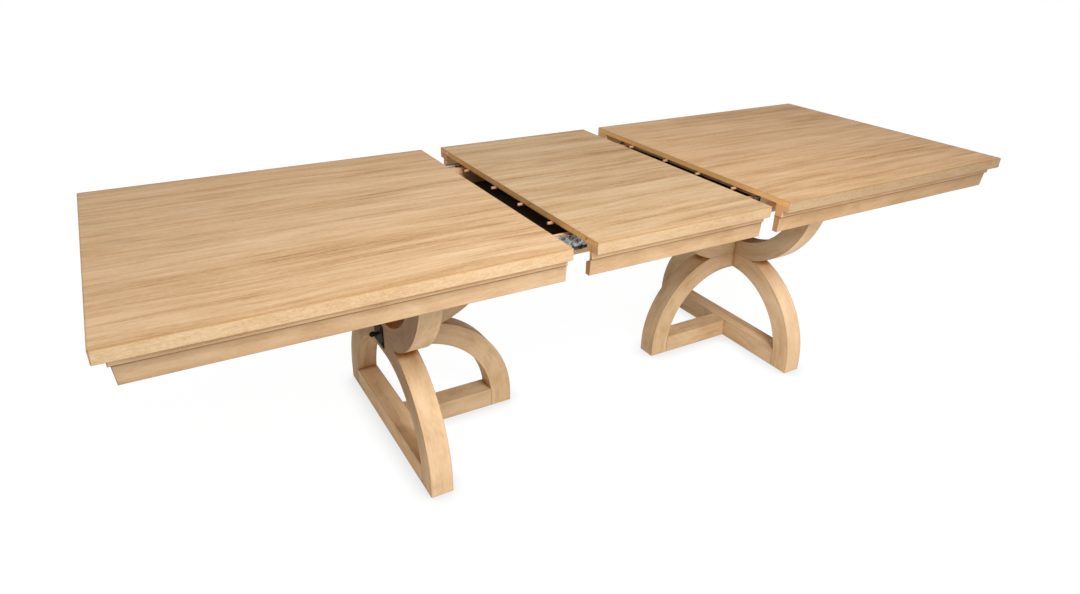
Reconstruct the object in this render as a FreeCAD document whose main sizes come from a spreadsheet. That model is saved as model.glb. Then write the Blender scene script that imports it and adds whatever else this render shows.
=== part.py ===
import FreeCAD, Part
import math
import os
from types import SimpleNamespace

import Sketcher

# Extending dining table on two arched pedestals, with a removable leaf between two sliding
# half tops. Millimetres, +Z up. The origin is on the floor under the middle of the leaf,
# +X runs along the table and -Y is the front. The table stands fully opened.

sizes = {
    # Overall sizes of the top
    "table_width": 1016,
    "table_height": 762,
    "half_length": 1066.8,
    "leaf_length": 609.6,
    "open_gap": 73.8,

    # Tops: a veneered panel, a strip under its edge and an apron under the strip
    "panel_thickness": 17,
    "strip_thickness": 17,
    "strip_width": 28,
    "corner_ease": 3,
    "edge_radius": 1.5,
    "apron_height": 72,
    "apron_setback": 24,
    "apron_thickness": 27,
    "fillet_height": 22,
    "apron_step": 5.5,
    "cove_radius": 2,
    "apron_lean": 3.5,
    "apron_foot_radius": 2.5,
    "leaf_rebate_depth": 15,
    "leaf_rebate_height": 36,
    "leaf_flange_edge": 11,
    "leaf_flange_slope": 12,
    "leaf_tongue_gap": 2,
    "block_leg": 45,
    "block_height": 40,
    "batten_width": 45,
    "batten_clearance": 0.5,
    "batten_end_gap": 2,

    # Dowels and studs that line the leaf up with the half tops
    "dowel_radius": 4.5,
    "dowel_reach": 15,
    "dowel_seat": 25,
    "dowel_setback": 20,
    "dowel_clearance": 0.4,
    "dowel_end_clearance": 2.5,
    "dowel_drop": 6,
    "dowel_tip_bevel": 1.2,
    "stud_radius": 3,
    "stud_length": 12,
    "stud_proud": 0.2,
    "stud_inset": 56,

    # Pedestals: an arch below, a cup above, and a half pair of each pointing inwards
    "pedestal_inset": 294,
    "member_width": 68,
    "member_depth": 72,
    "foot_inset": 138,
    "crown_flat": 56,
    "arm_flat": 56,
    "bend_height": 36.5,
    "hub_cut": 14.5,
    "member_ease": 2,
    "stretcher_height": 66,
    "stretcher_lift": 2,

    # Glides, plates, bolts and dowels of the pedestals
    "glide_radius": 12.5,
    "glide_thickness": 2,
    "glide_pin_radius": 2,
    "glide_pin_length": 14,
    "plate_width": 78,
    "plate_height": 71,
    "plate_thickness": 4,
    "plate_screw_inset": 11,
    "plate_screw_radius": 2.5,
    "plate_screw_length": 30,
    "plate_screw_head_radius": 5,
    "plate_screw_head_height": 2.5,
    "hub_bolt_radius": 5,
    "hub_bolt_seat": 60,
    "hub_neck_length": 12,
    "hub_knob_radius": 8,
    "hub_knob_length": 8,
    "joint_dowel_radius": 6,
    "joint_dowel_seat": 25,
    "crown_dowel_offset": 75,

    # Sub-frame that joins the pedestals and carries the slides
    "rail_height": 60,
    "rail_thickness": 25,
    "rail_setback": 10.4,
    "rail_end_gap": 15.8,
    "crossbar_thickness": 22,
    "board_thickness": 6,
    "rail_bolt_radius": 4,
    "rail_bolt_seat": 45,
    "rail_bolt_head_radius": 7,
    "rail_bolt_head_height": 5,
    "rail_bolt_sink": 8,

    # Telescopic steel slides: a fixed, a middle and a moving member nested in one another
    "slide_length": 700,
    "slide_end_setback": 70,
    "slide_height": 48,
    "slide_rise": 6,
    "slide_steel": 1.5,
    "slide_depth": 12,
    "slide_clearance": 0.3,
    "moving_steel": 2,
    "moving_tip_gap": 1.7,
    "runner_gap": 0.5,
    "runner_thickness": 22,
    "runner_height": 55,
    "runner_inner_setback": 22,
    "runner_outer_setback": 66,
    "slide_hole_radius": 5,
    "slide_screw_radius": 2,
    "slide_screw_length": 16,
    "rail_screw_gap": 1,
    "slide_screw_sink": 1.2,
    "slide_screw_head_radius": 4,
    "slide_screw_head_height": 0.9,

    # How far a cut runs past the face that it starts from
    "overrun": 10,
}


class Measure:
    """A number together with the sheet formula that gives it."""

    def __init__(self, value, formula):
        self.value = float(value)
        self.formula = formula

    def __add__(self, other):
        other = as_measure(other)
        return Measure(self.value + other.value, f"({self.formula} + {other.formula})")

    def __sub__(self, other):
        other = as_measure(other)
        return Measure(self.value - other.value, f"({self.formula} - {other.formula})")

    def __mul__(self, other):
        other = as_measure(other)
        return Measure(self.value * other.value, f"({self.formula} * {other.formula})")

    def __truediv__(self, other):
        other = as_measure(other)
        return Measure(self.value / other.value, f"({self.formula} / {other.formula})")

    def __neg__(self):
        return self * -1

    __radd__ = __add__
    __rmul__ = __mul__


def as_measure(thing):
    return thing if isinstance(thing, Measure) else Measure(thing, str(thing))


def larger_of(first, second):
    first, second = as_measure(first), as_measure(second)
    return Measure(max(first.value, second.value), f"max({first.formula}; {second.formula})")


def leg_of(long_side, short_side):
    """The third side of a right triangle, from its longest side and another."""
    value = math.sqrt(long_side.value ** 2 - short_side.value ** 2)
    formula = f"sqrt({long_side.formula} ^ 2 - {short_side.formula} ^ 2)"
    return Measure(value, formula)


doc = FreeCAD.newDocument("arched_extension_table")
sheet = doc.addObject("Spreadsheet::Sheet", "Sizes")
nodes = []

# Every size gets a cell of its own, and a measure that the pieces are bound to it with
for row, (name, value) in enumerate(sizes.items(), 1):
    sheet.set(f"A{row}", name)
    sheet.set(f"B{row}", str(value))
    sheet.setAlias(f"B{row}", name)
doc.recompute()
size = SimpleNamespace(**{name: Measure(value, f"Sizes.{name}") for name, value in sizes.items()})

# Places along a length or across the table, as shares of it
slide_screw_shares = (0.083, 0.28, 0.5, 0.72, 0.94)
slide_hole_shares = (0.048, 0.17, 0.39, 0.61, 0.83, 0.98)
runner_screw_shares = (0.1, 0.37, 0.63, 0.9)
dowel_shares = (-0.273, -0.101, 0.071, 0.271)
stud_shares = (-1, -1 / 3, 1 / 3, 1)

# Levels and places that follow from those sizes
ends = (-1, 1)
sides = (-1, 1)
panel_under = size.table_height - size.panel_thickness
slab_under = panel_under - size.strip_thickness
apron_under = slab_under - size.apron_height
half_width = size.table_width / 2
half_leaf = size.leaf_length / 2
inner_edge = half_leaf + size.open_gap
outer_edge = inner_edge + size.half_length
apron_inner = size.apron_setback + size.apron_thickness
dowel_level = panel_under - size.dowel_drop
stud_level = panel_under + size.panel_thickness / 2

# The closed tops have to clear the rails' ends, and the pedestals stand in from there
rail_end = size.half_length - apron_inner - size.rail_end_gap
half_member = size.member_width / 2
pedestal_centre = rail_end - size.pedestal_inset
foot_outer = half_width - size.foot_inset
leg_bend = size.crown_flat / 2
arm_bend = size.arm_flat
bend_radius = foot_outer - leg_bend
inner_radius = bend_radius - size.member_depth
arm_reach = arm_bend + bend_radius
leg_inner = foot_outer - size.member_depth
arm_inner = arm_reach - size.member_depth
hub_height = size.bend_height + bend_radius - size.hub_cut
cup_bend_height = hub_height * 2 - size.bend_height
arch_crown = size.bend_height + inner_radius
cup_bottom = cup_bend_height - inner_radius
arm_dowel_drop = (hub_height - arch_crown) / 2
stretcher_top = size.stretcher_lift + size.stretcher_height
stretcher_middle = size.stretcher_lift + size.stretcher_height / 2
plate_screw_low = hub_height - size.plate_height / 2 + size.plate_screw_inset
plate_screw_high = hub_height + size.plate_height / 2 - size.plate_screw_inset
plate_screw_across = size.plate_width / 2 - size.plate_screw_inset

# The rails lie on the cups' tips
rail_top = slab_under
rail_under = rail_top - size.rail_height
tip_drop = larger_of(cup_bend_height - rail_under, 0)
tip_top = larger_of(cup_bend_height, rail_under) + size.overrun
rail_outer = leg_bend + leg_of(bend_radius, tip_drop) - size.rail_setback
rail_inner = rail_outer - size.rail_thickness
rail_middle = rail_outer - size.rail_thickness / 2
rail_screw_tip = rail_middle + size.rail_bolt_radius + size.rail_screw_gap
rail_bolt_shoulder = rail_top - size.rail_bolt_sink
slide_middle = rail_top + size.slide_rise - size.slide_height / 2
slide_gap = size.slide_steel + size.slide_clearance
runner_face = rail_outer + size.slide_depth + size.runner_gap
runner_screw_face = runner_face - size.moving_steel
slide_inner_end = rail_end - size.slide_end_setback - size.slide_length
middle_slide_inner_end = slide_inner_end + inner_edge / 2
moving_slide_inner_end = slide_inner_end + inner_edge


def straight(across, up):
    """The next corner of an outline, reached in a straight line."""
    return (as_measure(across), as_measure(up), None, 0)


def bend(across, up, radius, turn):
    """The next corner, reached along an arc: turn 1 is anticlockwise, -1 clockwise."""
    return (as_measure(across), as_measure(up), radius, turn)


def flipped(outline, sign):
    """The outline mirrored left to right when sign is -1."""
    return [(across * sign, up, radius, turn * sign) for across, up, radius, turn in outline]


def turned_over(outline, sign):
    """The outline mirrored upside down when sign is -1."""
    return [(across, up * sign, radius, turn * sign) for across, up, radius, turn in outline]


def inward_from(edge, sign, outline):
    """An outline measured inwards from an edge, laid at that edge on one side or the other."""
    return [(sign * (edge - across), up, radius, -turn * sign)
            for across, up, radius, turn in outline]


def rectangle(left, low, right, high):
    return [straight(left, low), straight(right, low), straight(right, high), straight(left, high)]


def arc_between(start, finish, radius, turn):
    chord = finish - start
    rise = math.sqrt(max(radius * radius - (chord.Length / 2) ** 2, 0.0))
    sideways = FreeCAD.Vector(-chord.y, chord.x, 0).normalize()
    centre = (start + finish) * 0.5 + sideways * rise * turn
    first, last = (start, finish) if turn > 0 else (finish, start)
    first_angle = math.atan2(first.y - centre.y, first.x - centre.x)
    last_angle = math.atan2(last.y - centre.y, last.x - centre.x)
    if last_angle < first_angle:
        last_angle += 2 * math.pi
    circle = Part.Circle(centre, FreeCAD.Vector(0, 0, 1), radius)
    return Part.ArcOfCircle(circle, first_angle, last_angle)


def hold_point(sketch, line, point, across, up):
    """Hold one point of one line at a place given by two measures."""
    for kind, measure, axis in (("DistanceX", across, -2), ("DistanceY", up, -1)):
        if measure.value == 0:
            sketch.addConstraint(Sketcher.Constraint("PointOnObject", line, point, axis))
        else:
            constraint = Sketcher.Constraint(kind, -1, 1, line, point, measure.value)
            number = sketch.addConstraint(constraint)
            sketch.setExpression(f"Constraints[{number}]", measure.formula)


def hold_radius(sketch, line, radius):
    number = sketch.addConstraint(Sketcher.Constraint("Radius", line, radius.value))
    sketch.setExpression(f"Constraints[{number}]", radius.formula)


def add_outline(sketch, outline):
    """Draw a closed outline and hold every corner of it."""
    first = sketch.GeometryCount
    for index, (across, up, radius, turn) in enumerate(outline):
        before = outline[index - 1]
        start = FreeCAD.Vector(before[0].value, before[1].value, 0)
        finish = FreeCAD.Vector(across.value, up.value, 0)
        if radius is None:
            sketch.addGeometry(Part.LineSegment(start, finish), False)
        else:
            sketch.addGeometry(arc_between(start, finish, radius.value, turn), False)
    for index, (across, up, radius, turn) in enumerate(outline):
        following = (index + 1) % len(outline)
        end_point = 1 if turn < 0 else 2
        start_point = 2 if outline[following][3] < 0 else 1
        sketch.addConstraint(Sketcher.Constraint(
            "Coincident", first + index, end_point, first + following, start_point))
        hold_point(sketch, first + index, end_point, across, up)
        if radius is not None:
            hold_radius(sketch, first + index, radius)


def add_circle(sketch, across, up, radius):
    across, up = as_measure(across), as_measure(up)
    number = sketch.GeometryCount
    centre = FreeCAD.Vector(across.value, up.value, 0)
    sketch.addGeometry(Part.Circle(centre, FreeCAD.Vector(0, 0, 1), radius.value), False)
    hold_point(sketch, number, 3, across, up)
    hold_radius(sketch, number, radius)


def new_sketch(body, plane, level):
    """A sketch on one of the body's own planes, moved along that plane's axis to a level.

    The planes are top (across X, up Y), front (across X, up Z) and side (across Y, up Z).
    """
    role = {"top": "XY_Plane", "front": "XZ_Plane", "side": "YZ_Plane"}[plane]
    sketch = body.newObject("Sketcher::SketchObject", f"{body.Label}_sketch")
    support = [feature for feature in body.Origin.OriginFeatures if feature.Role == role]
    sketch.AttachmentSupport = (support[0], [""])
    sketch.MapMode = "FlatFace"
    level = as_measure(level)
    offset = -level if plane == "front" else level
    sketch.setExpression("AttachmentOffset.Base.z", offset.formula)
    return sketch


def new_body(label):
    body = doc.addObject("PartDesign::Body", label)
    body.Label = label
    body.AllowCompound = True
    nodes.append(body)
    return body


def extrude(kind, body, plane, start, stop, outlines, circles, taper):
    """Draw on a plane at the start level and run the shapes to the stop level."""
    start, stop = as_measure(start), as_measure(stop)
    sketch = new_sketch(body, plane, start)
    for outline in outlines:
        add_outline(sketch, outline)
    for across, up, radius in circles:
        add_circle(sketch, across, up, radius)
    feature = body.newObject(f"PartDesign::{kind}", f"{body.Label}_{kind.lower()}")
    feature.Profile = sketch
    rising = stop.value > start.value
    feature.Reversed = rising == ((plane == "front") == (kind == "Pad"))
    length = stop - start if rising else start - stop
    feature.setExpression("Length", length.formula)
    feature.TaperAngle = taper


def pad(body, plane, start, stop, outlines=(), circles=(), taper=0):
    extrude("Pad", body, plane, start, stop, outlines, circles, taper)


def cut(body, plane, start, stop, outlines=(), circles=(), taper=0):
    """Remove shapes from a body, and make sure that some material went."""
    doc.recompute()
    before = body.Shape.Volume
    extrude("Pocket", body, plane, start, stop, outlines, circles, taper)
    doc.recompute()
    if not body.Shape.Volume < before:
        raise RuntimeError(f"a cut in {body.Label} removed nothing")


def soften(body, kind, amount, wanted):
    """Round (Fillet) or bevel (Chamfer) the edges whose ends all pass the test."""
    doc.recompute()
    base = body.Tip
    names = []
    for number, edge in enumerate(base.Shape.Edges, 1):
        if all(wanted(vertex.Point) for vertex in edge.Vertexes):
            names.append(f"Edge{number}")
    if not names:
        raise RuntimeError(f"no edge of {body.Label} to soften")
    feature = body.newObject(f"PartDesign::{kind}", f"{body.Label}_edges")
    feature.Base = (base, names)
    feature.setExpression({"Fillet": "Radius", "Chamfer": "Size"}[kind], amount.formula)


def at(distance, measure):
    return abs(distance - measure.value) < 1e-4


# Pedestals. Across a pedestal the outlines lie on the side plane; the half pairs lie on the
# front plane, measured inwards from the pedestal's middle.


def inside(end, distance):
    """The X of a place measured inwards from the middle of one pedestal."""
    return end * (pedestal_centre - distance)


def arch_outline():
    notch = leg_bend + leg_of(bend_radius, hub_height - size.bend_height)
    return [
        straight(-foot_outer, size.glide_thickness),
        straight(-foot_outer, size.bend_height),
        bend(-notch, hub_height, bend_radius, -1),
        straight(notch, hub_height),
        bend(foot_outer, size.bend_height, bend_radius, -1),
        straight(foot_outer, size.glide_thickness),
        straight(leg_inner, size.glide_thickness),
        straight(leg_inner, size.bend_height),
        bend(leg_bend, arch_crown, inner_radius, 1),
        straight(-leg_bend, arch_crown),
        bend(-leg_inner, size.bend_height, inner_radius, 1),
        straight(-leg_inner, size.glide_thickness),
    ]


def cup_outline():
    """The arch turned over; its tips run on upwards, to be sawn off under the rails."""
    notch = leg_bend + leg_of(bend_radius, cup_bend_height - hub_height)
    return [
        straight(-foot_outer, tip_top),
        straight(-foot_outer, cup_bend_height),
        bend(-notch, hub_height, bend_radius, 1),
        straight(notch, hub_height),
        bend(foot_outer, cup_bend_height, bend_radius, 1),
        straight(foot_outer, tip_top),
        straight(leg_inner, tip_top),
        straight(leg_inner, cup_bend_height),
        bend(leg_bend, cup_bottom, inner_radius, -1),
        straight(-leg_bend, cup_bottom),
        bend(-leg_inner, cup_bend_height, inner_radius, -1),
        straight(-leg_inner, tip_top),
    ]


def half_arch_outline():
    notch = arm_bend + leg_of(bend_radius, hub_height - size.bend_height)
    return [
        straight(half_member, arch_crown),
        straight(half_member, hub_height),
        straight(notch, hub_height),
        bend(arm_reach, size.bend_height, bend_radius, -1),
        straight(arm_reach, size.glide_thickness),
        straight(arm_inner, size.glide_thickness),
        straight(arm_inner, size.bend_height),
        bend(arm_bend, arch_crown, inner_radius, 1),
    ]


def half_cup_outline():
    notch = arm_bend + leg_of(bend_radius, cup_bend_height - hub_height)
    return [
        straight(half_member, hub_height),
        straight(half_member, cup_bottom),
        straight(arm_bend, cup_bottom),
        bend(arm_inner, cup_bend_height, inner_radius, 1),
        straight(arm_inner, tip_top),
        straight(arm_reach, tip_top),
        straight(arm_reach, cup_bend_height),
        bend(notch, hub_height, bend_radius, -1),
    ]


def saw_tips(body, end):
    """Cut the upright tips of a cup off level with the rails' underside."""
    across, along = foot_outer + size.overrun, arm_reach + size.overrun
    cut(body, "top", rail_under, tip_top + size.overrun,
        [rectangle(inside(end, -along), -across, inside(end, along), across)])


def crown_dowels(end):
    return [(inside(end, 0), side * size.crown_dowel_offset, size.joint_dowel_radius) for side in sides]


def plate_screws(level):
    return [(side * plate_screw_across, level, size.plate_screw_radius) for side in sides]


def ease_member(body, on_side):
    """Ease the long edges of a curved member, but none at its foot or at the hub's flat cut."""
    soften(body, "Fillet", size.member_ease, lambda point: on_side(point)
           and not at(point.z, hub_height) and not at(point.z, size.glide_thickness))


def bore_hub(body, end, arm_level, crown_stop, screw_level):
    """The holes in the middle of an arch or a cup: bolt, dowels and plate screws."""
    outer, inner = inside(end, -half_member - size.overrun), inside(end, half_member + size.overrun)
    cut(body, "side", outer, inner, circles=[(0, hub_height, size.hub_bolt_radius)])
    cut(body, "side", outer, inside(end, size.plate_screw_length - size.plate_thickness - half_member),
        circles=plate_screws(screw_level))
    cut(body, "side", inner, inside(end, half_member - size.joint_dowel_seat),
        circles=[(0, arm_level, size.joint_dowel_radius)])
    cut(body, "top", hub_height, crown_stop, circles=crown_dowels(end))


def make_lower_arch(name, end):
    arch = new_body(f"{name}_lower_arch")
    near_face, far_face = inside(end, half_member), inside(end, -half_member)
    pad(arch, "side", near_face, far_face, [arch_outline()])
    ease_member(arch, lambda point: at(point.x, near_face) or at(point.x, far_face))
    bore_hub(arch, end, hub_height - arm_dowel_drop, hub_height - size.joint_dowel_seat,
             plate_screw_low)
    cut(arch, "top", size.glide_thickness, size.glide_thickness + size.glide_pin_length, circles=[
        (inside(end, 0), side * (foot_outer - size.member_depth / 2), size.glide_pin_radius)
        for side in sides])
    for side in sides:
        cut(arch, "front", side * (leg_inner - size.overrun),
            side * (leg_inner + size.joint_dowel_seat),
            circles=[(inside(end, 0), stretcher_middle, size.joint_dowel_radius)])


def make_upper_cup(name, end):
    cup = new_body(f"{name}_upper_cup")
    near_face, far_face = inside(end, half_member), inside(end, -half_member)
    pad(cup, "side", near_face, far_face, [cup_outline()])
    saw_tips(cup, end)
    ease_member(cup, lambda point: at(point.x, near_face) or at(point.x, far_face))
    bore_hub(cup, end, hub_height + arm_dowel_drop, hub_height + size.joint_dowel_seat,
             plate_screw_high)
    cut(cup, "top", rail_under, rail_under - size.rail_bolt_seat,
        circles=[(inside(end, 0), side * rail_middle, size.rail_bolt_radius) for side in sides])


def new_half(label, end, outline):
    """A half arch or half cup that butts against the pedestal's inner face."""
    half = new_body(label)
    pad(half, "front", half_member, -half_member, [inward_from(pedestal_centre, end, outline)])
    return half


def bore_half(half, end, arm_level):
    """The holes in the butting end of a half: hub bolt and dowel."""
    start = inside(end, half_member - size.overrun)
    cut(half, "side", start, inside(end, half_member + size.hub_bolt_seat),
        circles=[(0, hub_height, size.hub_bolt_radius)])
    cut(half, "side", start, inside(end, half_member + size.joint_dowel_seat),
        circles=[(0, arm_level, size.joint_dowel_radius)])


def make_half_arch(name, end):
    half = new_half(f"{name}_inner_half_arch", end, half_arch_outline())
    ease_member(half, lambda point: at(abs(point.y), half_member))
    bore_half(half, end, hub_height - arm_dowel_drop)
    cut(half, "top", size.glide_thickness, size.glide_thickness + size.glide_pin_length,
        circles=[(inside(end, arm_reach - size.member_depth / 2), 0, size.glide_pin_radius)])
    cut(half, "side", inside(end, arm_inner - size.overrun),
        inside(end, arm_inner + size.joint_dowel_seat),
        circles=[(0, stretcher_middle, size.joint_dowel_radius)])


def make_half_cup(name, end):
    half = new_half(f"{name}_inner_half_cup", end, half_cup_outline())
    saw_tips(half, end)
    ease_member(half, lambda point: at(abs(point.y), half_member))
    bore_half(half, end, hub_height + arm_dowel_drop)


def make_cross_stretcher(name, end):
    """The floor stretcher between two legs, coped to their curve."""
    coped = leg_bend + leg_of(inner_radius, stretcher_top - size.bend_height)
    cross = new_body(f"{name}_cross_stretcher")
    pad(cross, "side", inside(end, half_member), inside(end, -half_member), [[
        straight(-leg_inner, size.stretcher_lift),
        straight(-leg_inner, size.bend_height),
        bend(-coped, stretcher_top, inner_radius, -1),
        straight(coped, stretcher_top),
        bend(leg_inner, size.bend_height, inner_radius, -1),
        straight(leg_inner, size.stretcher_lift),
    ]])
    for side in sides:
        cut(cross, "front", side * (leg_inner + size.overrun),
            side * (leg_inner - size.joint_dowel_seat),
            circles=[(inside(end, 0), stretcher_middle, size.joint_dowel_radius)])
    cut(cross, "side", inside(end, half_member + size.overrun),
        inside(end, half_member - size.joint_dowel_seat),
        circles=[(0, stretcher_middle, size.joint_dowel_radius)])


def make_long_stretcher(name, end):
    """The floor stretcher from the cross stretcher to the foot of the half arch."""
    coped = arm_bend + leg_of(inner_radius, stretcher_top - size.bend_height)
    along = new_body(f"{name}_long_stretcher")
    pad(along, "front", half_member, -half_member, [inward_from(pedestal_centre, end, [
        straight(half_member, size.stretcher_lift),
        straight(half_member, stretcher_top),
        straight(coped, stretcher_top),
        bend(arm_inner, size.bend_height, inner_radius, -1),
        straight(arm_inner, size.stretcher_lift),
    ])])
    for seat, step in ((half_member, 1), (arm_inner, -1)):
        cut(along, "side", inside(end, seat - size.overrun * step),
            inside(end, seat + size.joint_dowel_seat * step),
            circles=[(0, stretcher_middle, size.joint_dowel_radius)])


def make_floor_glides():
    feet = [(inside(end, 0), side * (foot_outer - size.member_depth / 2))
            for end in ends for side in sides]
    feet += [(inside(end, arm_reach - size.member_depth / 2), 0) for end in ends]
    glides = new_body("floor_glides")
    pad(glides, "top", 0, size.glide_thickness,
        circles=[(across, up, size.glide_radius) for across, up in feet])
    pad(glides, "top", 0, size.glide_thickness + size.glide_pin_length,
        circles=[(across, up, size.glide_pin_radius) for across, up in feet])


def make_pedestal_dowels():
    dowels = new_body("pedestal_dowels")
    pad(dowels, "top", hub_height - size.joint_dowel_seat, hub_height + size.joint_dowel_seat,
        circles=[circle for end in ends for circle in crown_dowels(end)])
    for side in sides:
        pad(dowels, "front", side * (leg_inner - size.joint_dowel_seat),
            side * (leg_inner + size.joint_dowel_seat),
            circles=[(inside(end, 0), stretcher_middle, size.joint_dowel_radius) for end in ends])
    for end in ends:
        pad(dowels, "side", inside(end, half_member - size.joint_dowel_seat),
            inside(end, half_member + size.joint_dowel_seat),
            circles=[(0, level, size.joint_dowel_radius) for level in
                     (hub_height - arm_dowel_drop, hub_height + arm_dowel_drop,
                      stretcher_middle)])
        pad(dowels, "side", inside(end, arm_inner - size.joint_dowel_seat),
            inside(end, arm_inner + size.joint_dowel_seat),
            circles=[(0, stretcher_middle, size.joint_dowel_radius)])


def make_hub_plates():
    plates = new_body("hub_plates")
    low, high = hub_height - size.plate_height / 2, hub_height + size.plate_height / 2
    for end in ends:
        pad(plates, "side", inside(end, -half_member), inside(end, -half_member - size.plate_thickness),
            [rectangle(-size.plate_width / 2, low, size.plate_width / 2, high)])
    holes = [(0, hub_height, size.hub_bolt_radius)]
    holes += plate_screws(plate_screw_low) + plate_screws(plate_screw_high)
    for end in ends:
        cut(plates, "side", inside(end, -half_member), inside(end, -half_member - size.plate_thickness),
            circles=holes)


def make_hub_bolts():
    """The long bolt of each hub, with a domed knob standing off the plate."""
    bolts = new_body("hub_bolts")
    for end in ends:
        knob_start = pedestal_centre + half_member + size.plate_thickness + size.hub_neck_length
        knob_stop = knob_start + size.hub_knob_length
        pad(bolts, "side", inside(end, half_member + size.hub_bolt_seat), end * knob_start,
            circles=[(0, hub_height, size.hub_bolt_radius)])
        knob = new_sketch(bolts, "front", 0)
        knob.setExpression("AttachmentOffset.Base.y", hub_height.formula)
        add_outline(knob, flipped([
            straight(knob_start, 0),
            straight(knob_start, size.hub_knob_radius),
            straight(knob_stop, size.hub_knob_radius),
            bend(knob_stop + size.hub_knob_radius, 0, size.hub_knob_radius, -1),
        ], end))
        head = bolts.newObject("PartDesign::Revolution", "hub_knob")
        head.Profile = knob
        head.ReferenceAxis = (knob, ["H_Axis"])
        head.Angle = 360


def make_hub_plate_screws():
    screws = new_body("hub_plate_screws")
    places = [(side * plate_screw_across, level)
              for side in sides for level in (plate_screw_low, plate_screw_high)]
    for end in ends:
        face = -half_member - size.plate_thickness
        pad(screws, "side", inside(end, face + size.plate_screw_length), inside(end, face),
            circles=[(across, up, size.plate_screw_radius) for across, up in places])
        pad(screws, "side", inside(end, face), inside(end, face - size.plate_screw_head_height),
            circles=[(across, up, size.plate_screw_head_radius) for across, up in places])


# Sub-frame and slides. Only the two tops, their slides and the leaf move; all of this is fixed
# to the pedestals, except for the middle slides.


def fixed_screw_places():
    return [end * (slide_inner_end + size.slide_length * share)
            for end in ends for share in slide_screw_shares]


def rail_bolt_circles(side, radius):
    return [(inside(end, 0), side * rail_middle, radius) for end in ends]


def make_rail(label, side):
    rail = new_body(label)
    pad(rail, "front", side * rail_inner, side * rail_outer,
        [rectangle(-rail_end, rail_under, rail_end, rail_top)])
    cut(rail, "top", rail_under, rail_top, circles=rail_bolt_circles(side, size.rail_bolt_radius))
    cut(rail, "top", rail_bolt_shoulder, rail_top,
        circles=rail_bolt_circles(side, size.rail_bolt_head_radius))
    cut(rail, "front", side * rail_outer, side * rail_screw_tip,
        circles=[(across, slide_middle, size.slide_screw_radius) for across in fixed_screw_places()])


def make_rail_crossbars():
    crossbars = new_body("rail_crossbars")
    for end in ends:
        pad(crossbars, "side", end * rail_end, end * (rail_end - size.crossbar_thickness),
            [rectangle(-rail_inner, rail_under, rail_inner, rail_top)])


def make_centre_board():
    board = new_body("centre_board")
    reach = pedestal_centre + half_member
    pad(board, "top", rail_under, rail_under + size.board_thickness,
        [rectangle(-reach, -rail_inner, reach, rail_inner)])


def make_rail_bolts():
    bolts = new_body("rail_bolts")
    pad(bolts, "top", rail_under - size.rail_bolt_seat, rail_bolt_shoulder,
        circles=rail_bolt_circles(-1, size.rail_bolt_radius)
        + rail_bolt_circles(1, size.rail_bolt_radius))
    pad(bolts, "top", rail_bolt_shoulder, rail_bolt_shoulder + size.rail_bolt_head_height,
        circles=rail_bolt_circles(-1, size.rail_bolt_head_radius)
        + rail_bolt_circles(1, size.rail_bolt_head_radius))


def channel_outline(gap):
    """A steel channel outside a rail, open outwards and smaller all round by a gap."""
    back, front = rail_outer + gap, rail_outer + size.slide_depth
    if gap.value > 0:
        front = front - size.slide_clearance
    low, high = slide_middle - size.slide_height / 2 + gap, slide_middle + size.slide_height / 2 - gap
    return [
        straight(back, low),
        straight(front, low),
        straight(front, low + size.slide_steel),
        straight(back + size.slide_steel, low + size.slide_steel),
        straight(back + size.slide_steel, high - size.slide_steel),
        straight(front, high - size.slide_steel),
        straight(front, high),
        straight(back, high),
    ]


def moving_outline():
    """The innermost member: its web lies on the runner and its flanges point at the rail."""
    half = size.slide_height / 2 - slide_gap * 2
    low, high = slide_middle - half, slide_middle + half
    back = runner_screw_face
    tip = rail_outer + slide_gap + size.slide_steel + size.moving_tip_gap
    return [
        straight(tip, low),
        straight(runner_face, low),
        straight(runner_face, high),
        straight(tip, high),
        straight(tip, high - size.slide_steel),
        straight(back, high - size.slide_steel),
        straight(back, low + size.slide_steel),
        straight(tip, low + size.slide_steel),
    ]


def make_slides(label, end, inner_end, outline):
    """The front and back members of one kind at one end of the table."""
    slides = new_body(label)
    pad(slides, "side", end * inner_end, end * (inner_end + size.slide_length),
        [flipped(outline, side) for side in sides])
    return slides


def make_fixed_slides(name, end):
    slides = make_slides(f"{name}_fixed_slides", end, slide_inner_end,
                         channel_outline(as_measure(0)))
    screws = [end * (slide_inner_end + size.slide_length * share) for share in slide_screw_shares]
    holes = [end * (slide_inner_end + size.slide_length * share) for share in slide_hole_shares]
    face = rail_outer + size.slide_steel
    cut(slides, "front", -face, face,
        circles=[(across, slide_middle, size.slide_screw_radius) for across in screws]
        + [(across, slide_middle, size.slide_hole_radius) for across in holes])
    for side in sides:
        cut(slides, "front", side * face, side * (face - size.slide_screw_sink), taper=-45,
            circles=[(across, slide_middle, size.slide_screw_radius + size.slide_screw_sink)
                     for across in screws])


def make_fixed_slide_screws():
    """Countersunk screws, flush with the steel so that the middle members pass over them."""
    screws = new_body("fixed_slide_screws")
    face = rail_outer + size.slide_steel
    for side in sides:
        pad(screws, "front", side * face, side * rail_screw_tip,
            circles=[(across, slide_middle, size.slide_screw_radius)
                     for across in fixed_screw_places()])
        pad(screws, "front", side * face, side * (face - size.slide_screw_sink), taper=-45,
            circles=[(across, slide_middle, size.slide_screw_radius + size.slide_screw_sink)
                     for across in fixed_screw_places()])


def make_middle_slides(name, end):
    make_slides(f"{name}_middle_slides", end, middle_slide_inner_end, channel_outline(slide_gap))


# Tops


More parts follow.
